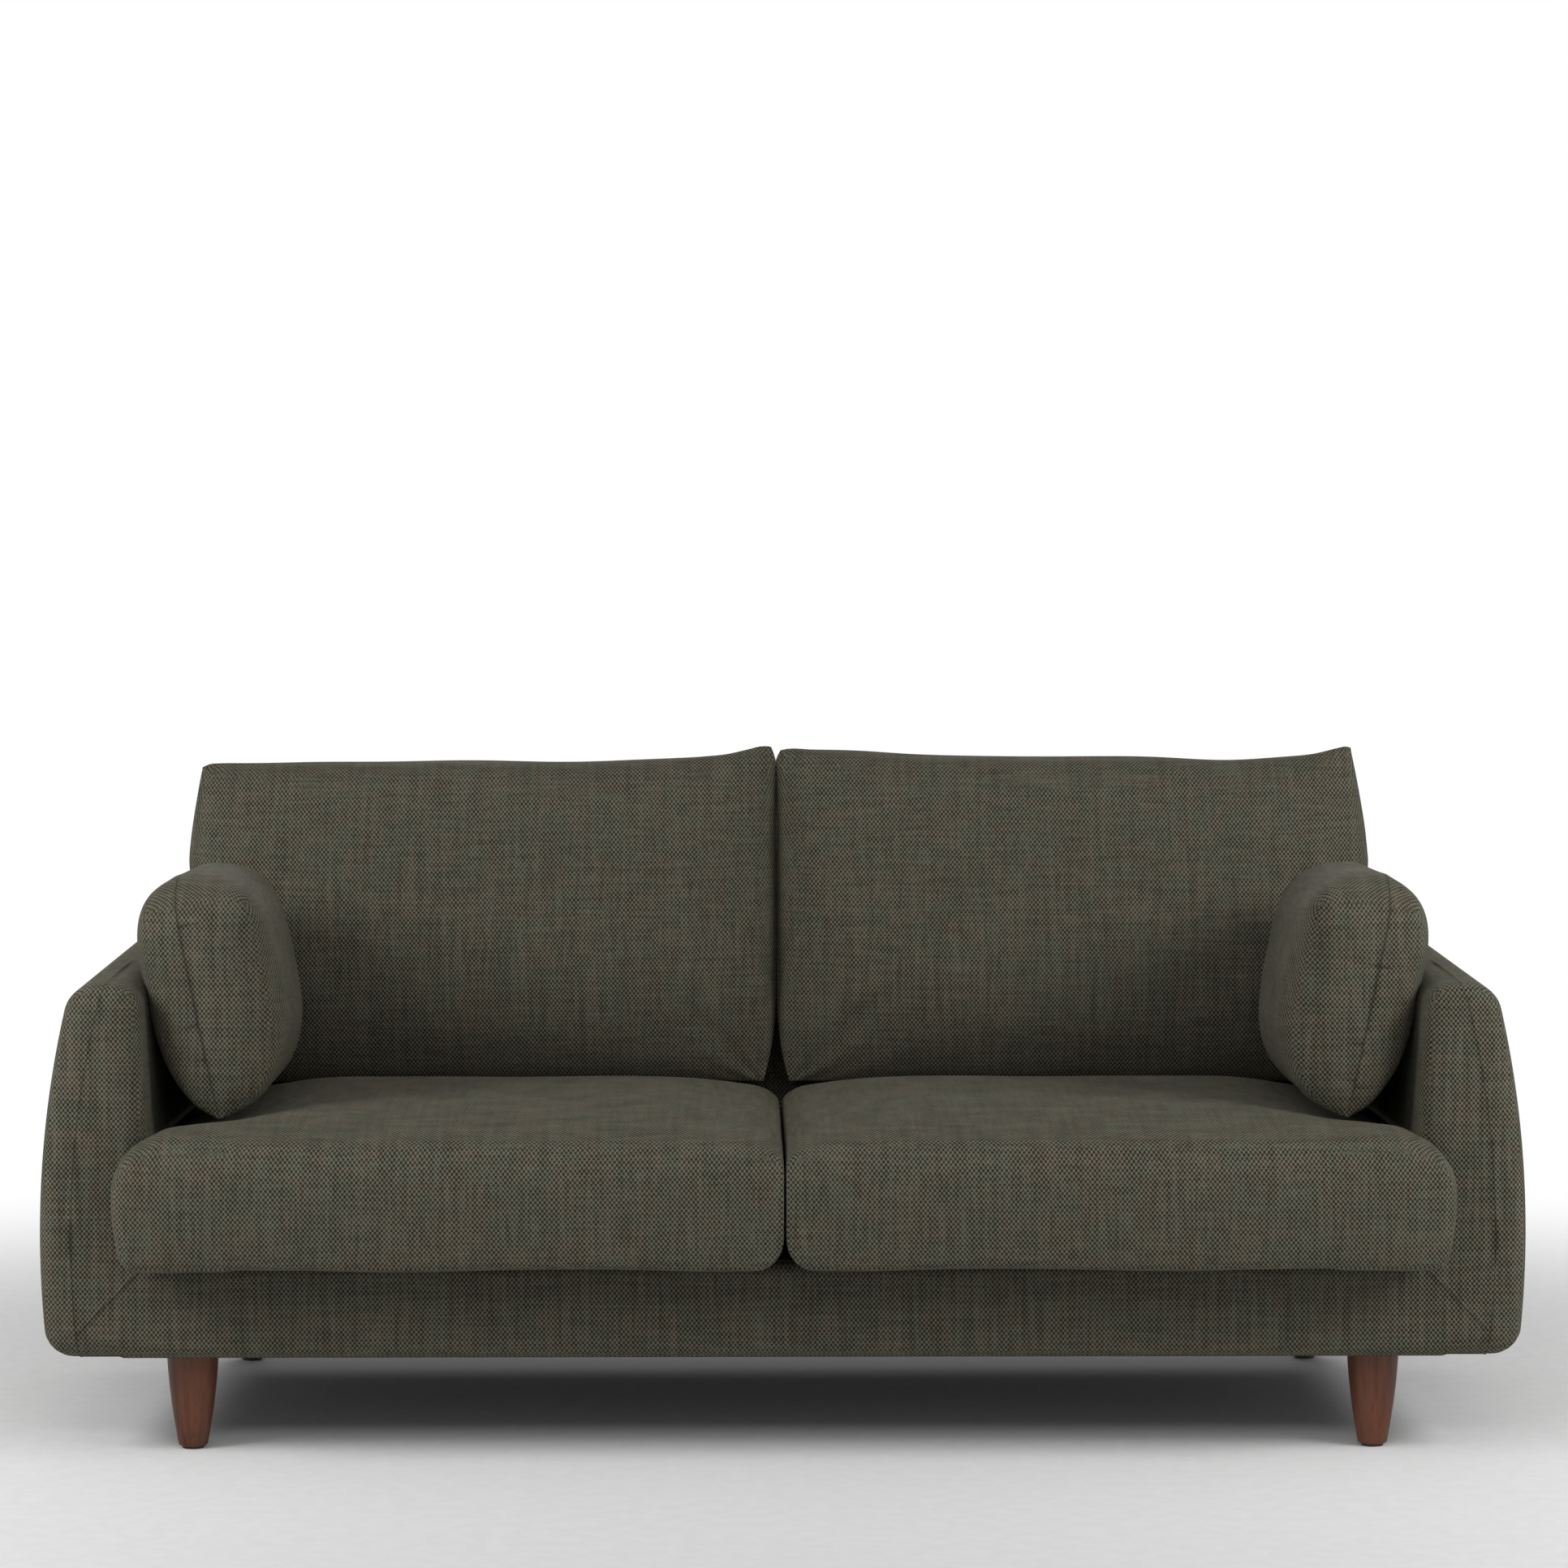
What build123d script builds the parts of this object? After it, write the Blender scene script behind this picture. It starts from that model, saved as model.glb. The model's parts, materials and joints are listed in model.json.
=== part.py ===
from build123d import *
import math
import os

# A two-place sofa: an upholstered timber body on four turned legs, with loose
# seat cushions, back cushions and side bolsters. The front faces -Y and the
# origin is on the floor, under the middle. All sizes are in millimetres.

# Body
overall_width = 1900.0
overall_depth = 900.0
leg_height = 128.0
deck_height = 250.0
cushion_overhang = 100.0
arm_front_height = 604.0
arm_rear_height = 648.0
arm_inner_half = 803.0
arm_lean = 2.8
arm_side_radius = 1300.0
arm_bulge_height = 280.0
arm_seam_inset = 43.0
mitre_start = 8.0
long_edge_radius = 32.0
end_edge_radius = 18.0
rear_setback = 20.0
back_rake = 11.0
back_depth = 142.0

# Upholstery layers
cover_thickness = 2.0
padding_thickness = 20.0
panel_thickness = 3.0
layer_gap = 0.3
padding_return = 40.0

# Timber
rail_thickness = 25.0
rail_height = 86.0
rail_end_reach = 95.0
side_rail_reach = 47.0
arm_board_thickness = 18.0
top_rail_height = 60.0
post_width = 45.0
block_length = 100.0
block_reach = 63.0

# Suspension
springs_per_seat = 4
spring_wire = 3.6
spring_width = 60.0
spring_rows = 23
clip_wall = 1.2
clip_width = 18.0
clip_depth = 12.0
strap_count = 4
strap_width = 55.0
strap_thickness = 2.0

# Legs and their fixings
leg_x = 763.0
leg_front_setback = 80.0
leg_rear_setback = 60.0
leg_top_radius = 33.5
leg_foot_radius = 19.0
leg_swell = 2.0
leg_edge_radius = 4.0
glide_radius = 14.0
glide_height = 3.0
bolt_radius = 4.0
bolt_in_leg = 40.0
bolt_in_frame = 30.0
plate_width = 60.0
plate_thickness = 4.0
screw_offset = 21.0
screw_radius = 1.9
screw_length = 24.0
screw_head_radius = 3.6
screw_head_height = 1.8
hole_clearance = 0.1

# Cushions
cushion_gap = 0.5
back_side_gap = 2.0
seat_seam_height = 80.0
seat_crown_height = 119.0
seat_crown_reach = 300.0
seat_foot_reach = 16.0
seat_corner_radius = 40.0
ear_width = 150.0
ear_reach = 50.0
ear_height = 164.0
ear_crown_reach = 40.0
back_cushion_height = 486.0
back_cushion_thickness = 180.0
back_cushion_reach = 150.0
back_cushion_corner = 30.0
back_top_half = 836.0
back_parting_x = -5.0
bolster_length = 450.0
bolster_height = 318.0
bolster_thickness = 190.0
bolster_reach = 135.0
bolster_corner = 60.0
bolster_centre_x = 740.0
bolster_front_setback = 42.0
bolster_tilt = 11.0
draw_in_share = 0.012
swell_steps = 7

# Shapes of the swell: how square it starts, and how slowly it ends
dome_shape = (5.0, 1.3)
pillow_shape = (2.1, 2.1)
edge_shape = (3.0, 3.0)

# Places worked out from the sizes above
front_y = cushion_overhang - overall_depth / 2
rear_y = overall_depth / 2
cover_inset = cover_thickness + layer_gap
padding_inset = cover_inset + padding_thickness
panel_inset = padding_inset + layer_gap
frame_inset = panel_inset + panel_thickness + layer_gap
rail_bottom = leg_height + cover_inset
rail_top = rail_bottom + rail_height
rail_front = front_y + frame_inset
rail_back = rail_front + rail_thickness
rail_half = arm_inner_half + rail_end_reach
clip_height = spring_wire + 2 * clip_wall + 4 * hole_clearance
settle_steps = 12
beyond = 3 * overall_width


def arm_top(y):
    """Height of the arm's top line at a depth."""
    rise = (arm_rear_height - arm_front_height) / (rear_y - front_y)
    return arm_front_height + rise * (y - front_y)


def rear_line(z, inset=0.0):
    """Depth of the raked rear face at a height, moved in by an inset."""
    slope = rear_setback / (arm_rear_height - leg_height)
    return rear_y - slope * (arm_rear_height - z) - inset * math.hypot(1, slope)


def inside_line(z, inset=0.0):
    """Depth of the inside back at a height, moved in by an inset."""
    rake = math.radians(back_rake)
    start = rear_line(deck_height) - back_depth
    return start + math.tan(rake) * (z - deck_height) + inset / math.cos(rake)


def arm_inner(z):
    """Half the clear width between the arms at a height."""
    return arm_inner_half + math.tan(math.radians(arm_lean)) * (z - deck_height)


def side_face(points, inset):
    """A face in the side view, drawn in by an inset."""
    face = make_face(Polyline(*points, close=True))
    return offset(face, amount=-inset, kind=Kind.INTERSECTION) if inset else face


def across(face, half):
    """Extrude a side view face to both sides of the middle."""
    return extrude(Plane.YZ * face, amount=half, both=True)


def span(x0, x1, y0, y1, z0, z1):
    """A box between two corners."""
    box = Box(x1 - x0, y1 - y0, z1 - z0)
    return Pos((x0 + x1) / 2, (y0 + y1) / 2, (z0 + z1) / 2) * box


def above(z):
    """All space over a height."""
    return span(-beyond, beyond, -beyond, beyond, z, beyond)


def to_left(part):
    """The mirrored twin of a piece on the right."""
    return mirror(part, about=Plane.YZ)


def fillet_if(form, edges, radius):
    """Round edges, unless an inset has used the whole radius up."""
    return fillet(edges, radius) if radius > layer_gap else form


# Forms of the body, each drawn in by an inset to nest the layers


def arm_points():
    return [
        (front_y, leg_height),
        (front_y, arm_front_height),
        (rear_y, arm_rear_height),
        (rear_line(leg_height), leg_height),
    ]


def arm_side_cylinder(inset):
    axis_x = overall_width / 2 - arm_side_radius
    side = Rot(90, 0, 0) * Cylinder(arm_side_radius - inset, beyond)
    return Pos(axis_x, 0, arm_bulge_height) * side


def inside_arm_plane(inset):
    """All space on the seat's side of the right arm's inner face."""
    leaning = Pos(arm_inner_half, 0, deck_height) * Rot(0, arm_lean, 0)
    return leaning * Pos(inset - beyond / 2, 0, 0) * Box(beyond, beyond, beyond)


def arm_form(inset):
    """The right arm."""
    slab = extrude(Plane.YZ * side_face(arm_points(), inset), amount=overall_width)
    form = (slab & arm_side_cylinder(inset)) - inside_arm_plane(inset)
    long_edges = form.edges().filter_by(lambda e: abs((e % 0.5).Y) > 0.9)
    hidden = long_edges.sort_by(lambda e: e.center().X + 2 * e.center().Z)[0]
    rounded = [edge for edge in long_edges if edge is not hidden]
    form = fillet_if(form, rounded, long_edge_radius - inset)
    for end in (0, -1):
        edges = form.faces().sort_by(Axis.Y)[end].edges()
        form = fillet_if(form, edges, end_edge_radius - inset)
    return form


def base_form(inset):
    """The seat base, which runs on into both arms."""
    points = [
        (front_y, leg_height),
        (front_y, deck_height),
        (rear_line(deck_height), deck_height),
        (rear_line(leg_height), leg_height),
    ]
    form = across(side_face(points, inset), arm_inner_half + rail_end_reach / 2)
    edges = form.faces().sort_by(Axis.Y)[0].edges().filter_by(Axis.X)
    form = fillet_if(form, edges, end_edge_radius - inset)
    edges = form.edges().filter_by(Axis.X).sort_by(lambda e: e.center().Y - e.center().Z)
    return fillet_if(form, edges[-1:], end_edge_radius - inset)


def back_points():
    foot = leg_height + rail_height / 2
    top_y = inside_line(arm_rear_height)
    return [
        (inside_line(foot), foot),
        (top_y, arm_top(top_y)),
        (rear_y, arm_rear_height),
        (rear_line(foot), foot),
    ]


def back_form(inset):
    """The back between the arms, which runs on into both."""
    form = across(side_face(back_points(), inset), arm_inner_half + rail_end_reach / 2)
    edges = form.edges().filter_by(Axis.X).sort_by(Axis.Z)[-2:]
    return fillet_if(form, edges, end_edge_radius - inset)


def body_form(inset):
    arm = arm_form(inset)
    return arm + to_left(arm) + base_form(inset) + back_form(inset)


def rear_strip(z0, z1, near, far):
    """A raked side view strip between two insets from the rear face."""
    corners = [
        (rear_line(z0, far), z0),
        (rear_line(z1, far), z1),
        (rear_line(z1, near), z1),
        (rear_line(z0, near), z0),
    ]
    return make_face(Polyline(*corners, close=True))


def front_frame(depth):
    """The front of the base, with its mitred ends under the arms."""
    run_out = deck_height - leg_height
    half = arm_inner_half + mitre_start
    corners = [
        (-half - run_out - layer_gap, leg_height - layer_gap),
        (half + run_out + layer_gap, leg_height - layer_gap),
        (half - layer_gap, deck_height + layer_gap),
        (layer_gap - half, deck_height + layer_gap),
    ]
    face = Plane.XZ * make_face(Polyline(*corners, close=True))
    return Pos(0, front_y + depth, 0) * extrude(face, amount=beyond)


def rear_region(depth):
    return across(rear_strip(-beyond, beyond, -beyond, depth), beyond)


def beyond_arm():
    """All space past the right arm's inner face."""
    return span(0, beyond, -beyond, beyond, -beyond, beyond) - inside_arm_plane(0)


def cut_up(skin, regions):
    """Part a skin into named pieces, region by region."""
    pieces = {}
    for name, region in regions:
        pieces[name] = skin & region
        skin = skin - region
    return pieces, skin


def make_covers():
    """The fabric skin of the body, parted at its seams."""
    half_space = span(0, beyond, -beyond, beyond, -beyond, beyond)
    arm_side = half_space - arm_side_cylinder(arm_seam_inset)
    under = span(-beyond, beyond, -beyond, beyond, -beyond, leg_height + cover_thickness)
    regions = [
        ("right_arm_side_cover", arm_side),
        ("left_arm_side_cover", to_left(arm_side)),
        ("outside_back_cover", rear_region(end_edge_radius)),
        ("front_rail_cover", front_frame(end_edge_radius)),
        ("dust_cover", under),
        ("right_arm_cover", beyond_arm()),
        ("left_arm_cover", to_left(beyond_arm())),
        ("inside_back_cover", above(deck_height)),
    ]
    pieces, rest = cut_up(body_form(0) - body_form(cover_thickness), regions)
    pieces["deck_cloth"] = rest
    holes = at_legs(Cylinder(bolt_radius + hole_clearance, 4 * cover_thickness), leg_height)
    for hole in holes:
        pieces["dust_cover"] = pieces["dust_cover"] - hole
    return pieces


def make_paddings():
    """Foam under the covers of the arms, the front and the outside back."""
    skin = body_form(cover_inset) - body_form(padding_inset)
    skin = skin & above(leg_height + padding_inset)
    regions = [
        ("outside_back_padding", rear_region(padding_return)),
        ("front_rail_padding", front_frame(padding_return)),
        ("right_arm_padding", beyond_arm()),
        ("left_arm_padding", to_left(beyond_arm())),
    ]
    pieces, _ = cut_up(skin, regions)
    floor = make_face(Polyline(
        (-beyond, deck_height + layer_gap),
        (beyond, deck_height + layer_gap),
        (beyond, -beyond),
        (-beyond, -beyond),
        close=True,
    ))
    webbing = frame_inset + rail_thickness + strap_thickness + layer_gap
    behind = rear_strip(-beyond, beyond, -beyond, webbing)
    pad = side_face(back_points(), cover_inset) - floor - behind
    pad = across(pad, arm_inner_half - layer_gap)
    top_front = pad.edges().filter_by(Axis.X).sort_by(lambda e: e.center().Z - e.center().Y)[-1:]
    pieces["inside_back_padding"] = fillet_if(pad, top_front, end_edge_radius - cover_inset)
    return pieces


def make_arm_frame():
    """Boards, rails and panels inside the right arm."""
    form = arm_form(frame_inset)
    panel_face = side_face(arm_points(), max(long_edge_radius, frame_inset) + layer_gap)
    profile = extrude(Plane.YZ * panel_face, amount=overall_width)
    over_rail = above(rail_top)
    board_back = rail_front + arm_board_thickness
    front_board = form & over_rail & span(0, beyond, -beyond, board_back, 0, beyond)
    strip = rear_strip(0, beyond, frame_inset, frame_inset + rail_thickness)
    rear_board = form & over_rail & across(strip, beyond)
    behind = across(rear_strip(0, beyond, -beyond, frame_inset + rail_thickness), beyond)
    face = side_face(arm_points(), frame_inset)
    strip = across(face - Pos(0, -arm_board_thickness) * face, beyond)
    top_rail = (form & strip & span(0, beyond, board_back, beyond, rail_top, beyond)) - behind
    sheet = arm_side_cylinder(panel_inset) - arm_side_cylinder(panel_inset + panel_thickness)
    outer_panel = profile & sheet & over_rail
    inner_sheet = inside_arm_plane(panel_inset + panel_thickness) - inside_arm_plane(panel_inset)
    inner_panel = (profile & inner_sheet & above(deck_height)) - back_form(0)
    rail_x = arm_inner_half + side_rail_reach
    side_rail = span(rail_x, rail_x + rail_thickness, rail_back, rear_y, rail_bottom, rail_top)
    return {
        "arm_front_board": front_board,
        "arm_rear_board": rear_board,
        "arm_top_rail": top_rail,
        "arm_outer_panel": outer_panel,
        "arm_inner_panel": inner_panel,
        "side_rail": side_rail - behind,
    }


def both_arms():
    pieces = {}
    for name, part in make_arm_frame().items():
        pieces["right_" + name] = part
        pieces["left_" + name] = to_left(part)
    return pieces


# Base frame, legs and their fixings


def leg_places():
    rear = rear_line(leg_height) - leg_rear_setback
    front = front_y + leg_front_setback
    return [(x, y) for y in (front, rear) for x in (-leg_x, leg_x)]


def at_legs(part, z):
    return [Pos(x, y, z) * part for x, y in leg_places()]


def screw_places():
    return [(x, y) for x in (-screw_offset, screw_offset) for y in (-screw_offset, screw_offset)]


def screw(clearance):
    """A plate screw pointing up from its head."""
    head = Cylinder(screw_head_radius + clearance, screw_head_height)
    shank = Cylinder(screw_radius + clearance, screw_length)
    return Pos(0, 0, screw_head_height / 2) * head + Pos(0, 0, screw_length / 2) * shank


def plate_screws(clearance):
    screws = [Pos(x, y, rail_bottom) * screw(clearance) for x, y in screw_places()]
    return [part for one in screws for part in at_legs(one, 0)]


def hanger_bolt(clearance):
    length = bolt_in_leg + bolt_in_frame
    return Pos(0, 0, bolt_in_frame / 2 - bolt_in_leg / 2) * Cylinder(bolt_radius + clearance, length)


def fixing_cuts():
    return plate_screws(hole_clearance) + at_legs(hanger_bolt(hole_clearance), leg_height)


def drilled(part, cuts):
    for cut in cuts:
        part = part - cut
    return part


def leg():
    """One turned leg, standing on its glide."""
    middle_z = (glide_height + leg_height) / 2
    middle_r = (leg_foot_radius + leg_top_radius) / 2 + leg_swell
    edge = leg_edge_radius
    foot = (leg_foot_radius - edge, glide_height)
    shoulder = (leg_foot_radius, glide_height + edge)
    bend = edge * (1 - math.sqrt(0.5))
    profile = [
        Line((0, glide_height), foot),
        ThreePointArc(foot, (leg_foot_radius - bend, glide_height + bend), shoulder),
        ThreePointArc(shoulder, (middle_r, middle_z), (leg_top_radius, leg_height)),
        Line((leg_top_radius, leg_height), (0, leg_height)),
        Line((0, leg_height), (0, glide_height)),
    ]
    turned = revolve(Plane.XZ * make_face(Wire(profile)), Axis.Z)
    return turned - Pos(0, 0, leg_height) * hanger_bolt(hole_clearance)


def make_legs():
    names = ("front_left_leg", "front_right_leg", "rear_left_leg", "rear_right_leg")
    pieces = dict(zip(names, at_legs(leg(), 0)))
    pieces["leg_glides"] = at_legs(Cylinder(glide_radius, glide_height), glide_height / 2)
    pieces["hanger_bolts"] = at_legs(hanger_bolt(0), leg_height)
    pieces["plate_screws"] = plate_screws(0)
    plate = Box(plate_width, plate_width, plate_thickness)
    plates = at_legs(plate, rail_bottom + plate_thickness / 2)
    pieces["leg_plates"] = [drilled(one, fixing_cuts()) for one in plates]
    return pieces


def make_base_frame():
    """Rails and corner blocks that carry the seat."""
    plate = Box(plate_width, plate_width, plate_thickness)
    cuts = fixing_cuts() + at_legs(plate, rail_bottom + plate_thickness / 2)
    strip = rear_strip(rail_bottom, rail_top, frame_inset, frame_inset + rail_thickness)
    whole_rear = across(strip, rail_half)
    front = span(-rail_half, rail_half, rail_front, rail_back, rail_bottom, rail_top)
    half = rail_thickness / 2
    centre = span(-half, half, rail_back, rear_y, rail_bottom, rail_top)
    behind = across(rear_strip(0, beyond, -beyond, frame_inset + rail_thickness), beyond)
    block_start = leg_x - block_reach
    block_end = arm_inner_half + side_rail_reach
    front_end = rail_back + block_length
    front_block = span(block_start, block_end, rail_back, front_end, rail_bottom, rail_top)
    rear_start = rear_line(rail_bottom, frame_inset + rail_thickness) - block_length
    rear_block = span(block_start, block_end, rear_start, rear_y, rail_bottom, rail_top)
    blocks = [front_block, rear_block - behind]
    blocks += [to_left(block) for block in blocks]
    return {
        "front_rail": drilled(front, cuts),
        "rear_rail": drilled(whole_rear, cuts),
        "centre_rail": centre - behind,
        "corner_blocks": [drilled(block, cuts) for block in blocks],
    }


def make_back_frame():
    """Posts, top rail and webbing of the back."""
    rail_z1 = arm_top(inside_line(arm_rear_height)) - frame_inset
    rail_z0 = rail_z1 - top_rail_height
    near = frame_inset
    far = frame_inset + rail_thickness
    rail = across(rear_strip(rail_z0, rail_z1, near, far), arm_inner_half + rail_end_reach / 2)
    arm = arm_form(frame_inset)
    rail = rail - arm - to_left(arm)
    post = across(rear_strip(rail_top, rail_z0, near, far), post_width / 2)
    side_x = arm_inner_half - post_width
    pitch = (rail_z1 - deck_height) / strap_count
    straps = []
    for index in range(strap_count):
        z = deck_height + (index + 0.5) * pitch
        face = rear_strip(z - strap_width / 2, z + strap_width / 2, far, far + strap_thickness)
        straps.append(across(face, side_x + post_width / 2))
    return {
        "back_top_rail": rail,
        "left_back_post": Pos(-side_x, 0, 0) * post,
        "centre_back_post": post,
        "right_back_post": Pos(side_x, 0, 0) * post,
        "back_webbing": straps,
    }


# Suspension


def spring_ends():
    """Depths of a spring's first and last rows, over the rails."""
    return rail_front + rail_thickness / 2, rear_line(rail_top, frame_inset + rail_thickness / 2)


def spring_places():
    pitch = arm_inner_half / springs_per_seat
    right = [(index + 0.5) * pitch for index in range(springs_per_seat)]
    return right + [-x for x in right]


def spring():
    """A zigzag wire in the plane of the deck, centred on x = 0."""
    start, end = spring_ends()
    pitch = (end - start) / (spring_rows - 1)
    bend = pitch / 2
    reach = spring_width / 2 - bend
    edges = []
    for row in range(spring_rows):
        y = start + row * pitch
        side = 1 if row % 2 == 0 else -1
        edges.append(Line((-side * reach, y), (side * reach, y)))
        if row < spring_rows - 1:
            apex = (side * (reach + bend), y + bend)
            edges.append(ThreePointArc((side * reach, y), apex, (side * reach, y + pitch)))
    path = Wire(edges)
    section = Plane(path @ 0, z_dir=path % 0) * Circle(spring_wire / 2)
    return sweep(section, path=path)


def clip(facing):
    """A bent steel clip that holds a spring's end row on its rail."""
    slot = spring_wire + 4 * hole_clearance
    outer = Rectangle(clip_depth, clip_height)
    inner = Pos(facing * clip_wall, 0) * Rectangle(clip_depth, slot)
    return across(outer - inner, clip_width / 2)


def make_suspension():
    start, end = spring_ends()
    wire_z = rail_top + clip_height / 2
    wire = spring()
    springs = [Pos(x, 0, wire_z) * wire for x in spring_places()]
    shift = clip_depth / 2 - clip_wall - spring_wire / 2 - hole_clearance
    clips = []
    for x in spring_places():
        clips.append(Pos(x, start + shift, wire_z) * clip(1))
        clips.append(Pos(x, end - shift, wire_z) * clip(-1))
    pad = span(
        layer_gap - arm_inner(rail_top),
        arm_inner(rail_top) - layer_gap,
        front_y + padding_return + layer_gap,
        inside_line(rail_top),
        rail_top + clip_height,
        deck_height - cover_inset,
    )
    return {"seat_springs": springs, "spring_clips": clips, "deck_pad": pad}


# Cushions


def cushion_face(corners, radius):
    """A four-sided outline with drawn-in sides and round corners."""
    points = [Vector(*corner) for corner in corners]
    shortest = min((b - a).length for a, b in zip(points, points[1:] + points[:1]))
    radius = min(radius, shortest / 3)
    edges = []
    for index, point in enumerate(points):
        following = points[(index + 1) % 4]
        after = points[(index + 2) % 4]
        along = (following - point).normalized()
        turn = (after - following).normalized()
        inward = Vector(-along.Y, along.X)
        start = point + along * radius
        end = following - along * radius
        middle = (point + following) * 0.5 + inward * (draw_in_share * (following - point).length)
        edges.append(ThreePointArc(start, middle, end))
        bend = following + (turn - along) * (radius * (1 - math.sqrt(0.5)))
        edges.append(ThreePointArc(end, bend, following + turn * radius))
    return make_face(Wire(edges))


def swell(share, reach, fullness, ease):
    """How far an outline draws in at a share of the height over the seam."""
    return reach * (1 - (1 - share ** fullness) ** (1 / ease))


def cushion_form(plane, corners, radius, lower, upper):
    """A ruled loft of outlines. Lower and upper give height, reach, fullness, ease."""
    inward = ((1, 1), (-1, 1), (-1, -1), (1, -1))
    levels = []
    for sign, (height, reach, fullness, ease) in ((-1, lower), (1, upper)):
        for step in range(swell_steps + 1):
            share = math.sin(math.radians(90 * step / swell_steps))
            levels.append((sign * share * height, swell(share, reach, fullness, ease)))
    faces = []
    for height, inset in sorted(set(levels)):
        moved = [(x + inset * sx, y + inset * sy) for (x, y), (sx, sy) in zip(corners, inward)]
        faces.append(plane.offset(height) * cushion_face(moved, radius + inset / 4))
    return loft(faces, ruled=True)


def settled(part, direction, carrier):
    """Move a piece along a direction until it rests on its carrier."""
    for _ in range(settle_steps):
        part = Pos(direction * (part.distance_to(carrier) - layer_gap)) * part
    return part


def seat_form(shrink):
    """The right seat cushion, with its ear in front of the arm."""
    floor = deck_height + layer_gap
    inner = cushion_gap + shrink
    outer = arm_inner_half - cushion_gap - shrink
    front = -overall_depth / 2 + shrink
    rear = inside_line(deck_height) - cushion_gap - shrink
    corners = [(inner, front), (outer, front), (outer, rear), (inner, rear)]
    seam = Plane.XY.offset(floor + seat_seam_height)
    lower = (seat_seam_height - shrink, seat_foot_reach, *edge_shape)
    upper = (seat_crown_height - shrink, seat_crown_reach, *dome_shape)
    main = cushion_form(seam, corners, seat_corner_radius, lower, upper)
    tip = arm_inner_half + ear_reach - shrink
    root = arm_inner_half + ear_reach - ear_width + shrink
    ear_rear = front_y - cushion_gap - shrink
    ear_corners = [(root, front), (tip, front), (tip, ear_rear), (root, ear_rear)]
    lower = (seat_seam_height - shrink - cover_thickness, seat_foot_reach, *edge_shape)
    upper = (ear_height - seat_seam_height - shrink, ear_crown_reach, *edge_shape)
    ear_radius = (front_y - front) / 4
    return main + cushion_form(seam, ear_corners, ear_radius, lower, upper)


def back_cushion_form(side, shrink):
    """A back cushion, clear of the seat, before it settles."""
    lean = math.radians(back_rake)
    lift = deck_height + seat_seam_height + seat_crown_height + back_cushion_reach
    rest = back_cushion_thickness / 2 + cushion_gap
    origin = (0, inside_line(lift) - rest * math.cos(lean), lift + rest * math.sin(lean))
    plane = Plane(origin, x_dir=(1, 0, 0), z_dir=(0, -math.cos(lean), math.sin(lean)))
    seat_top = deck_height + seat_seam_height + seat_crown_height
    outer_low = arm_inner(seat_top) - back_side_gap
    inner = back_parting_x + side * cushion_gap
    low, high = shrink, back_cushion_height - shrink
    if side > 0:
        corners = [(inner + shrink, low), (outer_low - shrink, low)]
        corners += [(back_top_half - shrink, high), (inner + shrink, high)]
    else:
        corners = [(shrink - outer_low, low), (inner - shrink, low)]
        corners += [(inner - shrink, high), (shrink - back_top_half, high)]
    half = (back_cushion_thickness / 2 - shrink, back_cushion_reach, *pillow_shape)
    return cushion_form(plane, corners, back_cushion_corner, half, half)


def bolster_form(shrink):
    """The right bolster, clear of the seat, before it settles."""
    tilt = math.radians(bolster_tilt)
    lift = deck_height + seat_seam_height + seat_crown_height + bolster_height / 2
    y0 = front_y + bolster_front_setback
    centre = (bolster_centre_x, y0 + bolster_length / 2, lift)
    inward = (-math.cos(tilt), 0, math.sin(tilt))
    plane = Plane(centre, x_dir=(0, -1, 0), z_dir=inward)
    a = bolster_length / 2 - shrink
    b = bolster_height / 2 - shrink
    corners = [(-a, -b), (a, -b), (a, b), (-a, b)]
    half = (bolster_thickness / 2 - shrink, bolster_reach, *pillow_shape)
    return cushion_form(plane, corners, bolster_corner, half, half)


def make_cushions():
    core = cover_thickness + layer_gap
    seat = seat_form(0)
    pieces = {"right_seat_cover": seat - seat_form(cover_thickness), "right_seat_core": seat_form(core)}
    down = Vector(0, -math.sin(math.radians(back_rake)), -math.cos(math.radians(back_rake)))
    seats = {1: seat, -1: to_left(seat)}
    for side, name in ((1, "right"), (-1, "left")):
        whole = back_cushion_form(side, 0)
        drop = settled(whole, down, seats[side]).center() - whole.center()
        pieces[name + "_back_cover"] = Pos(drop) * (whole - back_cushion_form(side, cover_thickness))
        pieces[name + "_back_fill"] = Pos(drop) * back_cushion_form(side, core)
    whole = bolster_form(0)
    drop = settled(whole, Vector(0, 0, -1), seat).center() - whole.center()
    hollow = Pos(drop) * bolster_form(cover_thickness) - arm_form(-cushion_gap - cover_thickness)
    pieces["right_bolster_cover"] = Pos(drop) * whole - arm_form(-cushion_gap) - hollow
    pieces["right_bolster_fill"] = Pos(drop) * bolster_form(core) - arm_form(-cushion_gap - core)
    for name in ("seat_cover", "seat_core", "bolster_cover", "bolster_fill"):
        pieces["left_" + name] = to_left(pieces["right_" + name])
    return pieces


def main():
    os.makedirs("parts", exist_ok=True)
    pieces = {}
    for group in (
        make_covers,
        make_paddings,
        both_arms,
        make_base_frame,
        make_back_frame,
        make_suspension,
        make_legs,
        make_cushions,
    ):
        pieces.update(group())
    for name, part in pieces.items():
        solids = part if isinstance(part, list) else [part]
        export_step(Compound(children=[Compound(one.solids()) for one in solids]), f"parts/{name}.step")


main()
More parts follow.
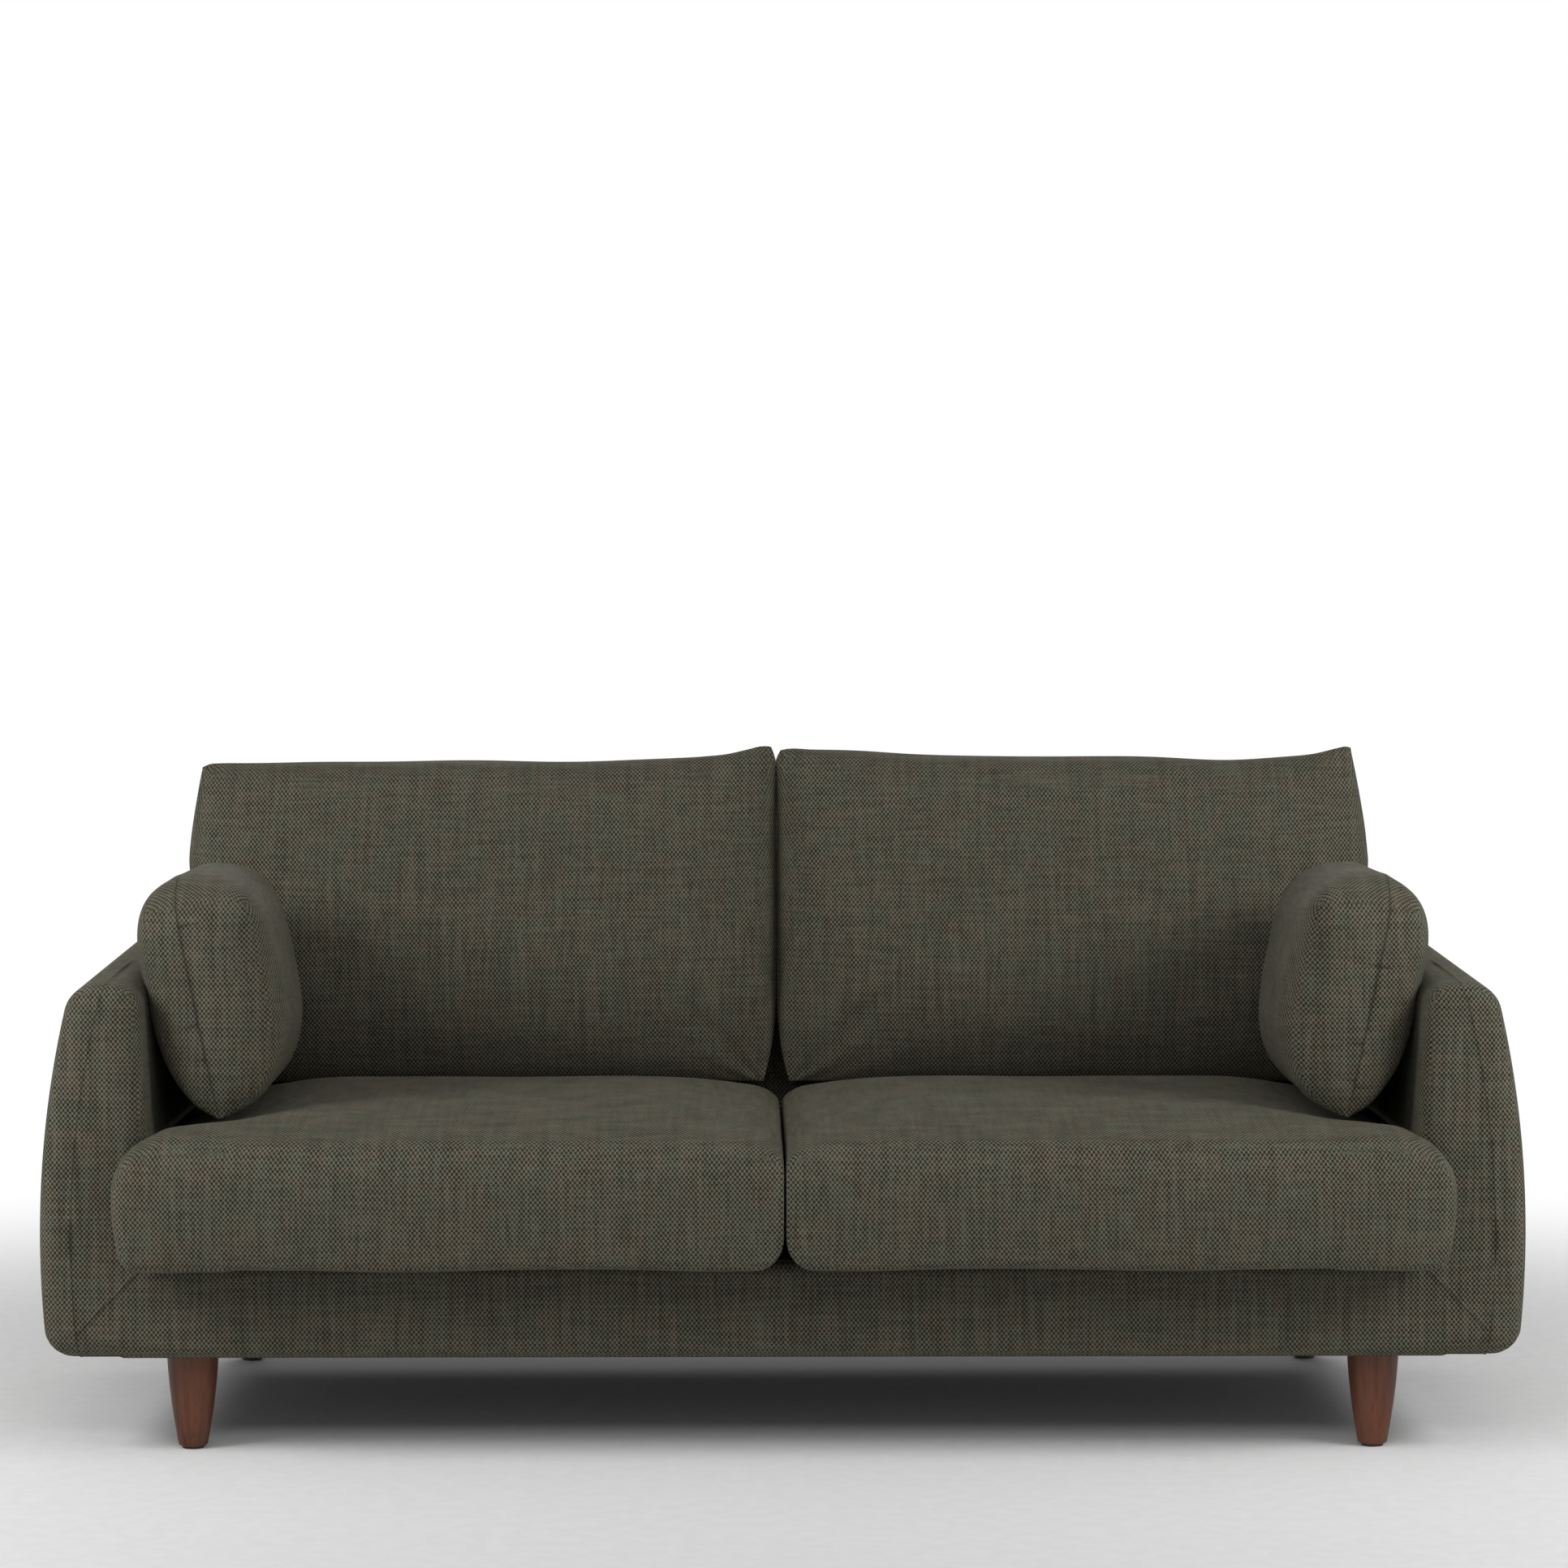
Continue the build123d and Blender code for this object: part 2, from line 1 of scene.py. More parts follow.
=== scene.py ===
import json
import math
import bpy
import bmesh
import numpy as np
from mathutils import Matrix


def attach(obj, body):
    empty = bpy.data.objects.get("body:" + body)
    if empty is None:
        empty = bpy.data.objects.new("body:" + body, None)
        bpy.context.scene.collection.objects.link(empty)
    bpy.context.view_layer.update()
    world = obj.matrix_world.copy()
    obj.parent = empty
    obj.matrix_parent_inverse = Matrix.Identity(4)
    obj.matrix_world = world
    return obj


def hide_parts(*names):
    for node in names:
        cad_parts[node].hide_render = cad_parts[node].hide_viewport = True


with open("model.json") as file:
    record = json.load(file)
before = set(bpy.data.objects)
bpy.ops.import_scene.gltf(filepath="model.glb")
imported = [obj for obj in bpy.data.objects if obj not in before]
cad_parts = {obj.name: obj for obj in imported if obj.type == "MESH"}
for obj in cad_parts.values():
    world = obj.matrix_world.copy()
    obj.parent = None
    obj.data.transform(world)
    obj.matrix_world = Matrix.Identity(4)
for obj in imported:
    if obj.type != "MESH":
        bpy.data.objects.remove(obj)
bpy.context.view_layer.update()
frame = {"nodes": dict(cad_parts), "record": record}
import openvdb
from mathutils import Vector

scene = bpy.context.scene
SIGN = {"right": 1, "left": -1}
WHITE = (1, 1, 1, 1)

# Sizes repeated from the part, in metres: RAKE is an angle in radians and ARM_LEAN a slope
FRONT_Y, REAR_Y = -0.350, 0.450
LEG_H, DECK = 0.128, 0.250
ARM_FRONT, ARM_REAR = 0.604, 0.648
ARM_INNER, ARM_LEAN = 0.803, math.tan(math.radians(2.8))
SIDE_R, SIDE_X, BULGE_Z = 1.300, -0.350, 0.280
SEAM_IN, MITRE = 0.043, 0.008
LONG_R, END_R = 0.032, 0.018
RAKE, BACK_D, SETBACK = math.radians(11.0), 0.142, 0.020
PARTING_X, BACK_T = -0.005, 0.180

# Sizes of the visual model alone
BODY_STEP, SEAT_STEP = 0.0065, 0.009
ARM_END_R, ARM_FOOT_R, INTO_ARM, INTO_BASE = 0.028, 0.034, 0.04, 0.05
DUST_RISE, SLACK = 0.002, 0.004
SEAM_DIP, SEAM_GROOVE = 0.0012, 0.0008
SEAT_FRONT, SEAT_LOW, SEAT_TOP, SEAT_CLEAR = -0.4485, 0.2512, 0.4465, 0.001
EAR_FROM, EAR_X, EAR_BLEND = 0.70, 0.846, 0.012
BACK_LOW, BACK_CORNER_X = 0.4145, 0.82
SEAT_GAP, BACK_GAP = 0.0003, 1e-5
SEAT_OFF_BODY, PILLOW_OFF_BODY, PILLOW_OFF_SEAT = 0.0006, 0.0008, 0.0025

# Radii of the seat cushions' edges
FRONT_TOP_R, FRONT_LOW_R = 0.038, 0.013
INNER_TOP_R, INNER_LOW_R, INNER_FRONT_R = 0.034, 0.040, 0.005
OUTER_R, EAR_TIP_R, EAR_REAR_R = 0.020, 0.024, 0.014

# Where the seat cushions press on each other: distances from the middle, loose and pressed
LOOSE_X, PRESSED_X = (0, 0.008, 0.030, 1), (0, 0.0024, 0.030, 1)

# Looks of the weave: stray of the threads in metres, and shares of the brightness
STRAY = 0.0012
SLUBS, STREAKS, FUZZ = 0.21, 0.10, 0.12
# Painted shade along the seams and creases: its colour and how much of the weave it covers
SEAM_SHADE_COLOR, SEAM_SHADE_SHARE = (0.012, 0.011, 0.008, 1.0), 0.72

# Picture
FRAME_PX, FOCAL_PX = 1932, 5060
CAMERA_AT, CAMERA_DOWN, CAMERA_TURN = (-0.056, -5.550, 1.056), 2.155, -0.6114
AMBIENT = 0.26
FLOOR_HALF, FLOOR_FADE = 30.0, (1.1, 2.6)


# Mesh helpers

def make_object(name, verts, faces):
    mesh = bpy.data.meshes.new(name)
    mesh.from_pydata([tuple(v) for v in verts], [], [tuple(f) for f in faces])
    mesh.update()
    obj = bpy.data.objects.new(name, mesh)
    scene.collection.objects.link(obj)
    return obj


def gathered(items, key, width, kind=np.float32):
    """A row of values for each of a mesh's vertices, edges or attribute entries."""
    out = np.empty(len(items) * width, dtype=kind)
    items.foreach_get(key, out)
    return out.reshape(-1, width)


def coords(obj):
    return gathered(obj.data.vertices, "co", 3).astype(np.float64)


def normals(obj):
    return gathered(obj.data.vertices, "normal", 3).astype(np.float64)


def edge_pairs(obj):
    return gathered(obj.data.edges, "vertices", 2, np.int32)


def set_coords(obj, points):
    obj.data.vertices.foreach_set("co", points.astype(np.float32).ravel())
    obj.data.update()


def smooth_shade(obj):
    obj.data.polygons.foreach_set("use_smooth", [True] * len(obj.data.polygons))
    obj.data.update()


def applied(obj):
    """Put the result of an object's modifiers into its mesh."""
    graph = bpy.context.evaluated_depsgraph_get()
    mesh = bpy.data.meshes.new_from_object(obj.evaluated_get(graph))
    obj.modifiers.clear()
    old = obj.data
    obj.data = mesh
    bpy.data.meshes.remove(old)


def capped(move, most):
    """Shorten the moves that are longer than a limit."""
    reach = np.linalg.norm(move, axis=1, keepdims=True)
    return move * np.minimum(1, most / np.maximum(reach, 1e-9))


def ramp01(x, low, high):
    """A smooth step from 0 at low to 1 at high."""
    t = np.clip((x - low) / (high - low), 0, 1)
    return t * t * (3 - 2 * t)


# Distance fields

def round_max(a, b, r):
    """What two fields have in common, its edge rounded."""
    u, v = np.maximum(a + r, 0), np.maximum(b + r, 0)
    return np.minimum(np.maximum(a, b), -r) + np.hypot(u, v)


def smooth_min(a, b, r):
    """Two fields joined, the hollow between them softened."""
    t = np.clip(0.5 + 0.5 * (a - b) / r, 0, 1)
    return a + (b - a) * t - r * t * (1 - t)


def rear_line(z):
    return REAR_Y - SETBACK / (ARM_REAR - LEG_H) * (ARM_REAR - z)


def inside_line(z):
    return rear_line(DECK) - BACK_D + math.tan(RAKE) * (z - DECK)


def arm_top(y):
    return ARM_FRONT + (ARM_REAR - ARM_FRONT) / (REAR_Y - FRONT_Y) * (y - FRONT_Y)


def arm_inner(z):
    return ARM_INNER + ARM_LEAN * (z - DECK)


def body_field(x, y, z):
    """Signed distance to the upholstered body, about zero on its surface."""
    x = np.abs(x)
    rear = y - rear_line(z)
    top = z - arm_top(y)
    under = LEG_H - z
    front = FRONT_Y - y
    arm = round_max(arm_inner(z) - x, top, LONG_R)
    arm = round_max(arm, np.hypot(x - SIDE_X, z - BULGE_Z) - SIDE_R, LONG_R)
    arm = round_max(arm, under, ARM_FOOT_R)
    arm = round_max(round_max(arm, front, ARM_END_R), rear, END_R)
    edge = x - ARM_INNER - INTO_ARM
    base = round_max(round_max(z - DECK, front, END_R), under, END_R)
    base = np.maximum(round_max(base, rear, END_R), edge)
    back = (inside_line(z) - y) * math.cos(RAKE)
    back = round_max(round_max(back, top, END_R), rear, END_R)
    back = np.maximum(np.maximum(back, DECK - INTO_BASE - z), edge)
    return np.minimum(np.minimum(arm, base), back)


def field_slope(field, points, tiny=5e-4, flattest=0.2):
    """A field's value, gradient and squared steepness at points."""
    p = [points[:, i] for i in range(3)]
    slope = np.empty_like(points)
    for i in range(3):
        ahead, behind = list(p), list(p)
        ahead[i], behind[i] = p[i] + tiny, p[i] - tiny
        slope[:, i] = (field(*ahead) - field(*behind)) / (2 * tiny)
    steep = np.maximum((slope ** 2).sum(1, keepdims=True), flattest)
    return field(*p)[:, None], slope, steep


def field_mesh(name, field, low, high, step):
    """A closed quad mesh of a field's zero surface."""
    low, high = np.array(low), np.array(high)
    shape = np.ceil((high - low) / step).astype(int) + 1
    axes = [low[i] + step * np.arange(shape[i]) for i in range(3)]
    values = field(*np.meshgrid(*axes, indexing="ij")).astype(np.float32)
    grid = openvdb.FloatGrid(background=float(values.max()))
    grid.copyFromArray(values)
    grid.transform = openvdb.createLinearTransform(voxelSize=step)
    points, quads = grid.convertToQuads(isovalue=0.0)
    points = points.astype(np.float64) + low
    for _ in range(3):
        value, slope, steep = field_slope(field, points)
        points -= capped(value * slope / steep, step * 0.5)
    return make_object(name, points, quads[:, ::-1])


# Materials

class Nodes:
    """A short way to write the node tree of a material or a world."""

    def __init__(self, owner):
        owner.use_nodes = True
        self.owner, self.tree = owner, owner.node_tree
        self.tree.nodes.clear()

    def add(self, kind, inputs=(), **settings):
        node = self.tree.nodes.new(kind)
        for key, value in settings.items():
            setattr(node, key, value)
        for key, value in dict(inputs).items():
            self.put(node.inputs[key], value)
        return node

    def put(self, socket, value):
        if isinstance(value, bpy.types.NodeSocket):
            self.tree.links.new(value, socket)
        else:
            socket.default_value = value

    def math(self, operation, a, b=0.0, clamp=False):
        node = self.add("ShaderNodeMath", {0: a, 1: b}, operation=operation, use_clamp=clamp)
        return node.outputs[0]

    def mix(self, factor, a, b, blend="MIX"):
        inputs = {0: factor, 6: a, 7: b}
        node = self.add("ShaderNodeMix", inputs, data_type="RGBA", blend_type=blend)
        return node.outputs[2]

    def scaled(self, vector, scale):
        node = self.add("ShaderNodeVectorMath", {0: vector, 1: scale}, operation="MULTIPLY")
        return node.outputs[0]

    def noise(self, vector, scale, detail=2.0, rough=0.5):
        inputs = {"Vector": vector, "Scale": scale, "Detail": detail, "Roughness": rough}
        return self.add("ShaderNodeTexNoise", inputs)

    def span(self, value, low, high, to_low=0.0, to_high=1.0, smooth=True):
        kind = "SMOOTHSTEP" if smooth else "LINEAR"
        inputs = {0: value, 1: low, 2: high, 3: to_low, 4: to_high}
        return self.add("ShaderNodeMapRange", inputs, interpolation_type=kind).outputs[0]

    def bump(self, height, strength, distance):
        inputs = {"Height": height, "Strength": strength, "Distance": distance}
        return self.add("ShaderNodeBump", inputs).outputs[0]

    def seen(self):
        """One for rays that the viewer sees, zero for those that only carry light."""
        path = self.add("ShaderNodeLightPath").outputs
        rays = self.math("MAXIMUM", path["Is Camera Ray"], path["Is Glossy Ray"])
        return self.math("MAXIMUM", rays, path["Is Transmission Ray"])

    def output(self, shader, kind="Material"):
        self.add("ShaderNodeOutput" + kind, {0: shader.outputs[0]})
        return self.owner

    def finish(self, color, roughness, normal, **constants):
        inputs = {"Base Color": color, "Roughness": roughness, "Normal": normal}
        inputs.update((key.replace("_", " "), value) for key, value in constants.items())
        return self.output(self.add("ShaderNodeBsdfPrincipled", inputs))


def rgb(r, g, b):
    """A linear colour from 0 to 255 screen values."""
    def one(c):
        c /= 255
        return c / 12.92 if c <= 0.04045 else ((c + 0.055) / 1.055) ** 2.4
    return (one(r), one(g), one(b), 1.0)


def woven(name, light, dark, warp=0.0029, weft=0.0035, depth=0.0007):
    """A plain weave in object space, with slubs and soft colour patches, and painted shade along
    the seams and creases.
    Warp and weft are the distances between threads."""
    n = Nodes(bpy.data.materials.new(name))
    place = n.add("ShaderNodeTexCoord")
    at, facing = place.outputs["Object"], place.outputs["Normal"]
    wobble = n.noise(at, 60.0, 1.0).outputs["Color"]
    wobble = n.add("ShaderNodeVectorMath", {0: wobble, 1: (0.5, 0.5, 0.5)}, operation="SUBTRACT")
    wobble = n.scaled(wobble.outputs[0], (STRAY, STRAY, STRAY))
    moved = n.add("ShaderNodeVectorMath", {0: at, 1: wobble}, operation="ADD").outputs[0]
    xyz = n.add("ShaderNodeSeparateXYZ", {0: moved})
    waves = {}
    for axis in "XYZ":
        for key, pitch in (("warp", warp), ("weft", weft)):
            turned = n.math("MULTIPLY", xyz.outputs[axis], math.pi / pitch)
            waves[axis, key] = n.math("SINE", turned)
    side = n.add("ShaderNodeVectorMath", {0: facing}, operation="ABSOLUTE").outputs[0]
    side = n.add("ShaderNodeSeparateXYZ", {0: side})
    share = {axis: n.math("POWER", side.outputs[axis], 8.0) for axis in "XYZ"}
    total = n.math("ADD", n.math("ADD", share["X"], share["Y"]), share["Z"])
    planes = {"X": ("Y", "Z"), "Y": ("X", "Z"), "Z": ("X", "Y")}
    weave = None
    for axis, (across, along) in planes.items():
        product = n.math("MULTIPLY", waves[across, "warp"], waves[along, "weft"])
        part = n.math("DIVIDE", n.math("MULTIPLY", product, share[axis]), total)
        weave = part if weave is None else n.math("ADD", weave, part)
    thread = n.span(weave, -0.75, 0.75)
    streak_a = n.noise(n.scaled(at, (18.0, 18.0, 330.0)), 1.0, 3.0).outputs["Fac"]
    streak_b = n.noise(n.scaled(at, (330.0, 330.0, 18.0)), 1.0, 3.0).outputs["Fac"]
    slub = n.math("ADD", streak_a, streak_b)
    broad = n.noise(n.scaled(at, (120.0, 9.0, 9.0)), 1.0, 2.0).outputs["Fac"]
    patch = n.noise(at, 26.0, 3.0, 0.6).outputs["Fac"]
    fuzz = n.noise(at, 900.0, 2.0).outputs["Fac"]
    amount = n.math("ADD", thread, n.span(slub, 0.7, 1.3, -SLUBS, SLUBS, False))
    amount = n.math("ADD", amount, n.span(broad, 0.3, 0.7, -STREAKS, STREAKS, False))
    amount = n.math("ADD", amount, n.span(fuzz, 0.3, 0.7, -FUZZ, FUZZ, False), clamp=True)
    color = n.mix(amount, dark, light)
    tint = n.mix(n.span(patch, 0.38, 0.62), (1.06, 0.99, 0.93, 1.0), (0.94, 1.0, 0.96, 1.0))
    color = n.mix(1.0, color, tint, "MULTIPLY")
    # Painted shade: the weave darkens where the seam attribute marks seams and creases
    seam = n.add("ShaderNodeAttribute", attribute_name="seam").outputs["Fac"]
    seam = n.math("POWER", n.math("MAXIMUM", seam, 0.0), 6.0, clamp=True)
    color = n.mix(n.math("MULTIPLY", seam, SEAM_SHADE_SHARE), color, SEAM_SHADE_COLOR)
    height = n.math("ADD", thread, n.math("MULTIPLY", slub, 0.25))
    height = n.math("SUBTRACT", height, n.math("MULTIPLY", seam, 1.5))
    normal = n.bump(height, 0.7, depth)
    rough = n.span(thread, 0.0, 1.0, 0.97, 0.82, False)
    return n.finish(color, rough, normal, Specular_IOR_Level=0.12, Sheen_Weight=0.03,
                    Sheen_Roughness=0.55, Sheen_Tint=(0.75, 0.74, 0.68, 1.0))


def timbered(name, light, dark, stretch, rough):
    """Wood with grain stretched along one axis."""
    n = Nodes(bpy.data.materials.new(name))
    at = n.add("ShaderNodeTexCoord").outputs["Object"]
    drawn = n.scaled(at, stretch)
    broad = n.noise(drawn, 26.0, 4.0, 0.55).outputs["Fac"]
    grain = n.noise(drawn, 150.0, 3.0, 0.6).outputs["Fac"]
    pores = n.noise(drawn, 420.0, 2.0, 0.5).outputs["Fac"]
    tone = n.math("ADD", n.math("MULTIPLY", broad, 0.6), n.math("MULTIPLY", grain, 0.4))
    color = n.mix(n.span(tone, 0.36, 0.64), dark, light)
    pitted = n.span(pores, 0.60, 0.70)
    deep = tuple(c * 0.45 for c in dark[:3]) + (1.0,)
    color = n.mix(n.math("MULTIPLY", pitted, 0.35), color, deep)
    height = n.math("SUBTRACT", n.math("MULTIPLY", grain, 0.5), pitted)
    roughness = n.span(grain, 0.3, 0.7, rough - 0.07, rough + 0.1, False)
    return n.finish(color, roughness, n.bump(height, 0.25, 0.0004), Specular_IOR_Level=0.4)


def mottled(name, light, dark, scale, rough, depth=0.0004, metallic=0.0):
    """Plain stuff with a fine uneven surface, such as board, metal or nylon."""
    n = Nodes(bpy.data.materials.new(name))
    at = n.add("ShaderNodeTexCoord").outputs["Object"]
    coarse = n.noise(at, scale, 4.0, 0.6).outputs["Fac"]
    fine = n.noise(at, scale * 7.0, 2.0, 0.5).outputs["Fac"]
    mixed = n.math("ADD", n.math("MULTIPLY", coarse, 0.6), n.math("MULTIPLY", fine, 0.4))
    color = n.mix(n.span(mixed, 0.36, 0.64), dark, light)
    roughness = n.span(mixed, 0.3, 0.7, rough - 0.06, min(1.0, rough + 0.06), False)
    return n.finish(color, roughness, n.bump(mixed, 0.35, depth), Metallic=metallic)


FABRIC = woven("woven_upholstery", rgb(113, 110, 97), rgb(40, 38, 31))
DECKING = woven("deck_lining", rgb(74, 72, 64), rgb(34, 33, 29), 0.0012, 0.0012, 0.0003)
DUST = woven("dust_lining", rgb(44, 44, 44), rgb(18, 18, 18), 0.0010, 0.0010, 0.0002)
WALNUT = timbered("walnut_legs", rgb(118, 71, 50), rgb(74, 42, 28), (1.0, 1.0, 0.07), 0.42)
BEECH = timbered("frame_timber", rgb(205, 168, 122), rgb(172, 132, 88), (0.08, 1.0, 1.0), 0.6)
BOARD = mottled("hardboard", rgb(146, 104, 66), rgb(104, 70, 42), 240.0, 0.75)
STEEL = mottled("zinc_steel", rgb(196, 198, 200), rgb(168, 170, 172), 300.0, 0.34, 0.0001, 1.0)
SPRING = mottled("spring_steel", rgb(128, 130, 132), rgb(92, 94, 96), 260.0, 0.38, 0.0001, 1.0)
NYLON = mottled("black_nylon", rgb(38, 38, 38), rgb(24, 24, 24), 500.0, 0.5, 0.0001)
WEBBING = woven("elastic_webbing", rgb(150, 128, 92), rgb(72, 60, 42), 0.0016, 0.0016, 0.0004)

CAD_LOOK = {
    "walnut": WALNUT,
    "timber": BEECH,
    "hardboard": BOARD,
    "zinc_steel": STEEL,
    "spring_steel": SPRING,
    "nylon": NYLON,
    "webbing": WEBBING,
}
slot_of = {s["node"]: s["material_slot"] for s in frame["record"]["subparts"]}
for node, obj in frame["nodes"].items():
    look = CAD_LOOK.get(slot_of[node])
    if look:
        obj.data.materials.clear()
        obj.data.materials.append(look)


def dress(obj, material, slot, body, *nodes):
    """Give a piece its look, parent it to what it moves with and hide the CAD parts that it stands
    for.
    """
    obj.data.materials.clear()
    obj.data.materials.append(material)
    smooth_shade(obj)
    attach(obj, body)
    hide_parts(*nodes)


# Body upholstery

def bisected(mesh, origin, normal, chosen):
    """Cut a mesh by a plane, only where the faces' centres are chosen."""
    faces = [f for f in mesh.faces if chosen(f.calc_center_median())]
    verts = {v for f in faces for v in f.verts}
    edges = {e for f in faces for e in f.edges}
    bmesh.ops.bisect_plane(
        mesh, geom=list(verts) + list(edges) + faces, dist=1e-5, plane_co=origin, plane_no=normal)


def side_distance(x, z):
    """Distance from an arm's outer side, negative inside."""
    return math.hypot(abs(x) - SIDE_X, z - BULGE_Z) - SIDE_R


def cut_side_seam(mesh, sign):
    """Cut along the seam that runs inside the arm's outline.
    The side is an arc, so the cut is made in polar coordinates, where it is flat."""
    mine = [v for v in mesh.verts if v.co.x * sign > 0.6]
    for v in mine:
        across, up = abs(v.co.x) - SIDE_X, v.co.z - BULGE_Z
        v.co = Vector((math.hypot(across, up), v.co.y, math.atan2(up, across)))
    inside = set(mine)
    faces = [f for f in mesh.faces if all(v in inside for v in f.verts)]
    edges = {e for f in faces for e in f.edges}
    cut = bmesh.ops.bisect_plane(
        mesh, geom=mine + list(edges) + faces, dist=1e-6,
        plane_co=Vector((SIDE_R - SEAM_IN, 0, 0)), plane_no=Vector((1, 0, 0)))
    new = [g for g in cut["geom_cut"] if isinstance(g, bmesh.types.BMVert) and g not in inside]
    for v in mine + new:
        reach, turn = v.co.x, v.co.z
        across, up = SIDE_X + reach * math.cos(turn), BULGE_Z + reach * math.sin(turn)
        v.co = Vector((sign * across, v.co.y, up))


def body_region(c):
    """The cover that a point of the body's surface belongs to."""
    side = "right" if c.x > 0 else "left"
    x = abs(c.x)
    if side_distance(c.x, c.z) > -SEAM_IN:
        return side + "_arm"
    if c.y > rear_line(c.z) - END_R:
        return "back"
    if c.y < FRONT_Y + END_R and c.z < DECK + 1e-4 and x < ARM_INNER + MITRE + DECK - c.z:
        return "front"
    if c.z < LEG_H + DUST_RISE:
        return "dust"
    if x > arm_inner(c.z) - SLACK:
        return side + "_arm"
    if c.z > DECK + SLACK:
        return "back"
    return "deck"


def cut_out(whole, name, wanted):
    """Copy some faces of the body as a piece, with its seams drawn in and marked for painted
    shade.
    """
    copy = bmesh.new()
    copy.from_mesh(whole.data)
    bmesh.ops.delete(copy, geom=[f for f in copy.faces if f.index not in wanted], context="FACES")
    layer = copy.verts.layers.float.new("seam")
    for v in copy.verts:
        edge = any(e.is_boundary for e in v.link_edges)
        line = abs(side_distance(v.co.x, v.co.z) + SEAM_IN) < 2e-4 and v.co.z > LEG_H + SLACK
        if edge or (line and name.endswith("arm")):
            v[layer] = 1.0
    copy.normal_update()
    for v in copy.verts:
        if v[layer] > 0.5:
            v.co -= v.normal * SEAM_DIP
    data = bpy.data.meshes.new(name + "_upholstery")
    copy.to_mesh(data)
    copy.free()
    obj = bpy.data.objects.new(name + "_upholstery", data)
    scene.collection.objects.link(obj)
    return obj


def make_body():
    """The covers of the frame: one surface, cut along its seams."""
    whole = field_mesh(
        "body", body_field, (-0.975, -0.375, 0.110), (0.975, 0.475, 0.675), BODY_STEP)
    mesh = bmesh.new()
    mesh.from_mesh(whole.data)
    for sign in SIGN.values():
        cut_side_seam(mesh, sign)
        corner = Vector((sign * (ARM_INNER + MITRE), 0, DECK))
        bisected(mesh, corner, Vector((sign, 0, 1)).normalized(),
                 lambda c: c.y < FRONT_Y + END_R and c.z < DECK + 0.01 and c.x * sign > 0.7)
    slope = SETBACK / (ARM_REAR - LEG_H)
    bisected(mesh, Vector((0, rear_line(0.4) - END_R, 0.4)), Vector((0, 1, -slope)).normalized(),
             lambda c: c.y > 0.36)
    bisected(mesh, Vector((0, FRONT_Y + END_R, 0)), Vector((0, 1, 0)), lambda c: c.z < DECK + 0.01)
    bisected(mesh, Vector((0, 0, LEG_H + DUST_RISE)), Vector((0, 0, 1)),
             lambda c: c.z < LEG_H + 0.02)
    regions = {}
    for face in mesh.faces:
        regions.setdefault(body_region(face.calc_center_median()), set()).add(face.index)
    mesh.to_mesh(whole.data)
    mesh.free()
    pieces = {name: cut_out(whole, name, wanted) for name, wanted in regions.items()}
    bpy.data.objects.remove(whole)
    return pieces


body = make_body()
for side in SIGN:
    dress(body[side + "_arm"], FABRIC, "upholstery", "frame",
          side + "_arm_side_cover", side + "_arm_cover", side + "_arm_padding")
dress(body["front"], FABRIC, "upholstery", "frame", "front_rail_cover", "front_rail_padding")
dress(body["back"], FABRIC, "upholstery", "frame", "outside_back_cover", "outside_back_padding",
      "inside_back_cover", "inside_back_padding")
dress(body["deck"], DECKING, "deck_cloth", "frame", "deck_cloth", "deck_pad")
dress(body["dust"], DUST, "dust_cloth", "frame", "dust_cover")


# Cushions

def through(x, points):
    """A smooth line through given places."""
    at, value = np.array(points, dtype=float).T
    slope = np.gradient(value, at)
    i = np.clip(np.searchsorted(at, x) - 1, 0, len(at) - 2)
    step = at[i + 1] - at[i]
    t = np.clip((x - at[i]) / step, 0, 1)
    rise, p, q = value[i + 1] - value[i], slope[i] * step, slope[i + 1] * step
    return value[i] + t * p + t ** 2 * (3 * rise - 2 * p - q) + t ** 3 * (p + q - 2 * rise)


def add_seam(obj, chosen):
    seam = obj.data.attributes.new("seam", "FLOAT", "POINT")
    seam.data.foreach_set("value", chosen.astype(np.float32))


def subdivided(obj):
    mod = obj.modifiers.new("Subdivision", "SUBSURF")
    mod.levels = mod.render_levels = 1
    applied(obj)


def inflate(obj, cap, pressure=4.0, frames=20):
    """Swell a closed mesh as a pressed cloth, by no more than a cap."""
    start = coords(obj)
    mod = obj.modifiers.new("Cloth", "CLOTH")
    cloth = mod.settings
    cloth.quality = 5
    cloth.mass = 0.3
    cloth.tension_stiffness = 15
    cloth.compression_stiffness = 15
    cloth.shear_stiffness = 6
    cloth.bending_stiffness = 0.6
    cloth.use_pressure = True
    cloth.uniform_pressure_force = pressure
    cloth.effector_weights.gravity = 0
    if "rim" in obj.vertex_groups:
        cloth.vertex_group_mass = "rim"
    mod.collision_settings.use_collision = False
    mod.collision_settings.use_self_collision = False
    mod.point_cache.frame_start = 1
    mod.point_cache.frame_end = frames
    for f in range(1, frames + 1):
        scene.frame_set(f)
    end = coords(obj.evaluated_get(bpy.context.evaluated_depsgraph_get()))
    obj.modifiers.clear()
    scene.frame_set(1)
    set_coords(obj, start + capped(end - start, cap))


def keep_off(obj, field, gap, most=0.03):
    """Press a soft piece flat where it would enter a neighbour."""
    points = coords(obj)
    for _ in range(3):
        value, slope, steep = field_slope(field, points)
        points += np.clip(gap - value, 0, most) * slope / steep
    set_coords(obj, points)


